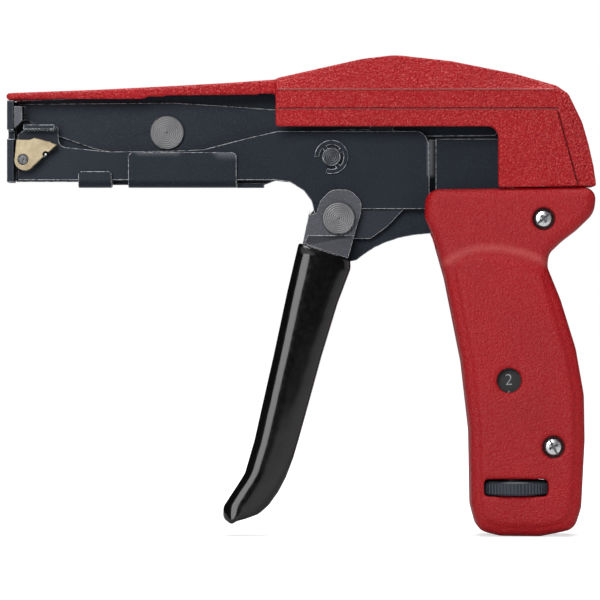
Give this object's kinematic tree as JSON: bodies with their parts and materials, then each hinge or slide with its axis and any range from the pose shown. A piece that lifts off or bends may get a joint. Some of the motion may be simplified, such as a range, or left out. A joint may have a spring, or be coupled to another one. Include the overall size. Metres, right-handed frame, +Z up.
{
  "type": "cable tie tensioning tool",
  "caption": "Pistol-shaped hand tool that pulls a cable tie tight and cuts its tail, with a sprung trigger, a gripping pawl and a thumbwheel that sets the tension.",
  "frame": {"origin": "centre of the footprint of the whole tool, at the foot of the handle", "axes": "+X from the nose to the handle, +Z up, Y across the tool, with the near side, which shows the plates, at -Y"},
  "size_m": [0.1699, 0.0238, 0.1384],
  "materials": {
    "red_shell": "coarse wrinkle paint",
    "red_grip": "fine leather grain",
    "blue_steel": "blued steel plate",
    "ear_steel": "dull treated steel",
    "rivet_steel": "turned faces",
    "pawl_zinc": "yellow passivated",
    "bright_zinc": "bright zinc",
    "spring_steel": "drawn wire",
    "black_dip": "glossy dipped vinyl",
    "wheel_steel": "blued and knurled",
    "scale_plastic": "moulded, light numbers",
    "nut_brass": "machined"
  },
  "bodies": {
    "root": {"frame": "blue_steel", "nose_plate": "blue_steel", "top_cover": "red_shell", "cover_rivets": "rivet_steel", "grip_near": "red_grip", "grip_far": "red_grip", "grip_screws": "bright_zinc", "spring_post": "rivet_steel", "cut_lever_rivet": "rivet_steel", "tension_lever_pin": "rivet_steel", "spring_seat": "rivet_steel", "tension_spring": "spring_steel", "return_spring": "spring_steel"},
    "carriage_body": {"carriage": "blue_steel", "pawl_pin": "rivet_steel", "guide_pin": "rivet_steel", "e_clip": "rivet_steel"},
    "pawl_body": {"gripper_pawl": "pawl_zinc", "pawl_spring": "spring_steel"},
    "trigger_body": {"trigger_lever": "ear_steel", "trigger_grip": "black_dip", "trigger_pivot": "rivet_steel"},
    "cut_lever_body": {"cut_lever": "blue_steel"},
    "blade_body": {"cutter_blade": "ear_steel"},
    "tension_lever_body": {"tension_lever": "blue_steel", "fulcrum_pin": "rivet_steel"},
    "cap_body": {"thrust_cap": "rivet_steel"},
    "rod_body": {"tension_rod": "rivet_steel"},
    "nut_body": {"tension_nut": "nut_brass", "tension_scale": "scale_plastic"},
    "knob_body": {"thumbwheel": "wheel_steel"}
  },
  "joints": [
    {"name": "carriage_slide", "type": "slide", "parent": "root", "child": "carriage_body", "axis": [1, 0, 0], "range_m": [0, 0.0148], "deforming": ["return_spring"]},
    {"name": "trigger_squeeze", "type": "hinge", "parent": "carriage_body", "child": "trigger_body", "pos_m": [0.01083, -0.001, 0.09152], "axis": [0, -1, 0], "range_deg": [0, 27], "stiffness_Nm_per_rad": 0.3, "springref_deg": -22.92},
    {"name": "pawl_close", "type": "hinge", "parent": "carriage_body", "child": "pawl_body", "pos_m": [-0.08012, -0.0025, 0.10846], "axis": [0, -1, 0], "range_deg": [0, 22]},
    {"name": "cutoff", "type": "hinge", "parent": "root", "child": "tension_lever_body", "pos_m": [0.03571, -0.001, 0.13098], "axis": [0, 1, 0], "range_deg": [0, 14.3], "stiffness_Nm_per_rad": 3, "springref_deg": -5.73},
    {"name": "cut_lever_swing", "type": "hinge", "parent": "root", "child": "cut_lever_body", "pos_m": [-0.03891, 0.0036, 0.11646], "axis": [0, -1, 0], "range_deg": [0, 4.85]},
    {"name": "blade_slide", "type": "slide", "parent": "root", "child": "blade_body", "axis": [0, 0, -1], "range_m": [0, 0.0036]},
    {"name": "cap_slide", "type": "slide", "parent": "root", "child": "cap_body", "axis": [0, 0, -1], "range_m": [0, 0.0078], "deforming": ["tension_spring"]},
    {"name": "rod_turn", "type": "hinge", "parent": "cap_body", "child": "rod_body", "pos_m": [0.0616, 0, 0.06], "axis": [0, 0, 1], "range_deg": [-720, 2160]},
    {"name": "nut_slide", "type": "slide", "parent": "cap_body", "child": "nut_body", "axis": [0, 0, -1], "range_m": [-0.0047, 0.0141], "deforming": ["tension_spring"]},
    {"name": "knob_turn", "type": "hinge", "parent": "root", "child": "knob_body", "pos_m": [0.0616, 0, 0.0138], "axis": [0, 0, 1], "range_deg": [-720, 2160]}
  ],
  "couplings": [
    {"joint": "carriage_slide", "follows": "trigger_squeeze", "m_per_rad": 0.0314},
    {"joint": "pawl_close", "follows": "trigger_squeeze", "ratio": 0.8},
    {"joint": "cut_lever_swing", "follows": "cutoff", "ratio": 0.335},
    {"joint": "blade_slide", "follows": "cutoff", "m_per_rad": 0.0144},
    {"joint": "cap_slide", "follows": "cutoff", "m_per_rad": 0.0312},
    {"joint": "rod_turn", "follows": "knob_turn", "ratio": 1},
    {"joint": "nut_slide", "follows": "knob_turn", "m_per_rad": 0.000374}
  ]
}
